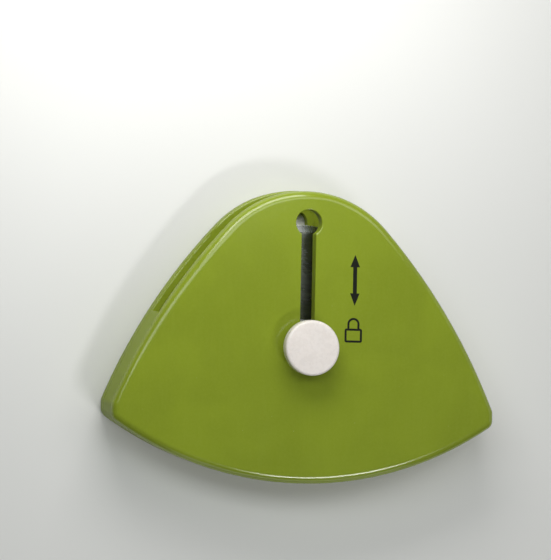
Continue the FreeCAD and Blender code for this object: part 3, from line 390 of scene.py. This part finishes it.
# ---------------------------------------------------------------------------
# Lock spring: drawn wire with closed end coils, stretched between slider and plunger
# ---------------------------------------------------------------------------
def coil_spring():
    lo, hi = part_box("lock_spring")
    wire = 0.45 * MM / 2
    mean = (hi.x - lo.x) / 2 - wire
    z0, z1 = lo.z + wire, hi.z - wire
    turns, steps, ring = 5.0, 360, 14
    mesh = bpy.data.meshes.new("coil_spring")
    verts, faces = [], []
    for i in range(steps + 1):
        t = i / steps
        # the end coils lie almost flat, the middle carries the pitch
        ease = t - 0.10 * math.sin(2 * math.pi * t)
        a = 2 * math.pi * turns * t
        z = z0 + (z1 - z0) * ease
        c = Vector((AXLE.x + mean * math.cos(a), AXLE.y + mean * math.sin(a), z))
        tangent = Vector((-math.sin(a), math.cos(a), (z1 - z0) / (2 * math.pi * turns * mean))).normalized()
        out = Vector((math.cos(a), math.sin(a), 0))
        up = out.cross(tangent).normalized()
        for k in range(ring):
            b = 2 * math.pi * k / ring
            verts.append(c + out * (wire * math.cos(b)) + up * (wire * math.sin(b)))
    for i in range(steps):
        for k in range(ring):
            p, q = i * ring + k, i * ring + (k + 1) % ring
            faces.append((p, q, q + ring, p + ring))
    faces.append(tuple(range(ring)))
    faces.append(tuple(steps * ring + k for k in reversed(range(ring))))
    mesh.from_pydata([tuple(v) for v in verts], [], faces)
    mesh.update()
    bm = bmesh.new()
    bm.from_mesh(mesh)
    bmesh.ops.recalc_face_normals(bm, faces=bm.faces)
    bm.to_mesh(mesh)
    bm.free()
    mesh.shade_smooth()
    obj = bpy.data.objects.new("coil_spring", mesh)
    scene.collection.objects.link(obj)
    mesh.materials.append(MATERIALS["spring_steel"])
    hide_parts("lock_spring")
    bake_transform(obj)
    return obj


coil_spring()


# ---------------------------------------------------------------------------
# Floor, light and camera
# ---------------------------------------------------------------------------
def floor():
    mesh = bpy.data.meshes.new("floor")
    size = 3.0
    mesh.from_pydata([(-size, -size, 0), (size, -size, 0), (size, size, 0), (-size, size, 0)], [], [(0, 1, 2, 3)])
    obj = bpy.data.objects.new("floor", mesh)
    scene.collection.objects.link(obj)
    obj.location.z = -0.00002
    n = Net("floor_paper")
    cloud = n.remap(n.noise(n.mm, 0.004, 3, 0.5), 0.3, 0.7)
    colour = n.mix(cloud, (0.70, 0.70, 0.69), (0.74, 0.74, 0.73))
    n.shade(Base_Color=colour, Roughness=0.85, Normal=n.bump(n.noise(n.mm, 1.5, 3, 0.6), 0.004))
    # far from the case the paper runs into the pale wall behind it, for the camera only
    tree = n.mat.node_tree
    output = next(node for node in tree.nodes if node.type == "OUTPUT_MATERIAL")
    paper = output.inputs[0].links[0].from_socket
    place = n.node("ShaderNodeNewGeometry")
    far = n.vec("LENGTH", place.outputs["Position"], out="Value")
    fade = n.remap(far, 0.13, 0.42)
    path = n.node("ShaderNodeLightPath")
    fade = n.math("MULTIPLY", fade, path.outputs["Is Camera Ray"])
    clear = n.node("ShaderNodeBsdfTransparent")
    run_out = n.node("ShaderNodeMixShader")
    n.put(run_out.inputs[0], fade)
    tree.links.new(paper, run_out.inputs[1])
    tree.links.new(clear.outputs[0], run_out.inputs[2])
    tree.links.new(run_out.outputs[0], output.inputs[0])
    mesh.materials.append(n.mat)


def area(name, location, target, size, power, colour=(1, 1, 1), size_y=None):
    data = bpy.data.lights.new(name, "AREA")
    data.energy = power
    data.color = colour
    data.size = size
    if size_y is not None:
        data.shape = "RECTANGLE"
        data.size_y = size_y
    obj = bpy.data.objects.new(name, data)
    scene.collection.objects.link(obj)
    obj.location = location
    obj.rotation_mode = "QUATERNION"
    obj.rotation_quaternion = (Vector(target) - Vector(location)).to_track_quat("-Z", "Y")
    obj.visible_camera = False
    return obj


def sky(azimuth, elevation, distance):
    """A place seen from the middle of the case: azimuth from +Y towards +X, both angles in degrees."""
    a, e = math.radians(azimuth), math.radians(elevation)
    return Vector((0, 0, 0.012)) + distance * Vector((math.cos(e) * math.sin(a), math.cos(e) * math.cos(a), math.sin(e)))


def strip(name, start, end, width, power, colour):
    """A straight light from start to end, turned to face the case."""
    start, end = Vector(start), Vector(end)
    centre, along = (start + end) / 2, (end - start).normalized()
    obj = area(name, centre, MIDDLE, (end - start).length, power, colour, size_y=width)
    back = (centre - Vector(MIDDLE))
    back = (back - along * back.dot(along)).normalized()
    obj.rotation_quaternion = Matrix((along, back.cross(along), back)).transposed().to_quaternion()
    return obj


MIDDLE = (0.0, 0.0, 0.012)
floor()
# one long soft strip, high on the left and across the rounded end: the pale line along those edges
strip("strip_left", (0.112, 0.108, 0.40), (-0.50, 0.225, 0.40), 0.13, 0.80, (0.95, 1.0, 0.97))
# a softbox on the far right
area("softbox_right", sky(48, 52, 0.5), MIDDLE, 0.20, 0.27, (1.0, 0.985, 0.95), size_y=0.20)
# a small bright lamp low in front: the bright line along the bottom edge
area("front_lamp", sky(146, 58, 0.6), MIDDLE, 0.17, 0.80, (1.0, 1.0, 0.98), size_y=0.045)
# dim broad light low in front and low on the right: soft pale bands on the rounded edges there
area("front_fill", sky(168, 17, 0.6), MIDDLE, 0.50, 0.42, size_y=0.26)
# a little light close to the rounded end, which fades towards the curved base
area("near_top", (-0.03, 0.125, 0.095), (0.0, 0.02, 0.012), 0.13, 0.19, (1.0, 0.99, 0.96), size_y=0.065)
# and a weak low one from the right
area("low_right", sky(84, 17, 0.6), MIDDLE, 0.45, 0.20, size_y=0.25)

world = bpy.data.worlds.new("studio")
scene.world = world
world.use_nodes = True
back = world.node_tree.nodes["Background"]
back.inputs[0].default_value = (0.9, 0.95, 1.0, 1)
back.inputs[1].default_value = 0.05
# what the camera itself sees past the floor is a pale wall; it sheds no light of its own
wall = world.node_tree.nodes.new("ShaderNodeBackground")
wall.inputs[0].default_value = (0.58, 0.59, 0.59, 1)
seen = world.node_tree.nodes.new("ShaderNodeLightPath")
choose = world.node_tree.nodes.new("ShaderNodeMixShader")
links = world.node_tree.links
links.new(seen.outputs["Is Camera Ray"], choose.inputs[0])
links.new(back.outputs[0], choose.inputs[1])
links.new(wall.outputs[0], choose.inputs[2])
links.new(choose.outputs[0], world.node_tree.nodes["World Output"].inputs[0])

# Camera: 45 cm away, up and to the left of the cutter, framed off-centre as a crop of a wider view
TILT, PITCH, YAW = -0.03203, -0.07603, 0.11975
EYE = Vector((-127.51, 21.94, 441.33))      # mm from the axle and the front face
FOCAL = 1921.6                              # pixels
CENTRE_U, CENTRE_V = -5.14, 89.09           # where the lens axis meets the picture, pixels
WIDTH, HEIGHT = 551, 560
turn = (Matrix.Rotation(PITCH, 3, "X") @ Matrix.Rotation(YAW, 3, "Y") @ Matrix.Rotation(TILT, 3, "Z"))
cam_data = bpy.data.cameras.new("camera")
cam = bpy.data.objects.new("camera", cam_data)
scene.collection.objects.link(cam)
cam.matrix_world = (Matrix.Translation(EYE * MM + Vector((AXLE.x, AXLE.y, FACE_Z)))
                    @ turn.transposed().to_4x4())
side = max(WIDTH, HEIGHT)
cam_data.sensor_fit = "AUTO"
cam_data.sensor_width = 36.0
cam_data.lens = FOCAL * 36.0 / side
cam_data.shift_x = (WIDTH / 2 - CENTRE_U) / side
cam_data.shift_y = (CENTRE_V - HEIGHT / 2) / side
# The lens shift belongs to this viewpoint alone: it runs out as the camera leaves it, so that from
# any other side the cutter stands in the middle of the picture
viewpoint = bpy.data.objects.new("viewpoint", None)
scene.collection.objects.link(viewpoint)
viewpoint.location = cam.matrix_world.translation
viewpoint.empty_display_size = 0.01
for channel, full in (("shift_x", cam_data.shift_x), ("shift_y", cam_data.shift_y)):
    curve = cam_data.driver_add(channel)
    curve.driver.type = "SUM"
    away = curve.driver.variables.new()
    away.name, away.type = "away", "LOC_DIFF"
    away.targets[0].id, away.targets[1].id = cam, viewpoint
    for modifier in list(curve.modifiers):
        curve.modifiers.remove(modifier)
    curve.keyframe_points.add(3)
    for key, (distance, value) in zip(curve.keyframe_points, ((0.0, full), (0.001, full), (0.02, 0.0))):
        key.co = (distance, value)
        key.interpolation = "LINEAR"
    curve.extrapolation = "CONSTANT"
    curve.update()
cam_data.clip_start, cam_data.clip_end = 0.05, 10.0
scene.camera = cam
scene.view_settings.view_transform = "Standard"
scene.view_settings.look = "None"
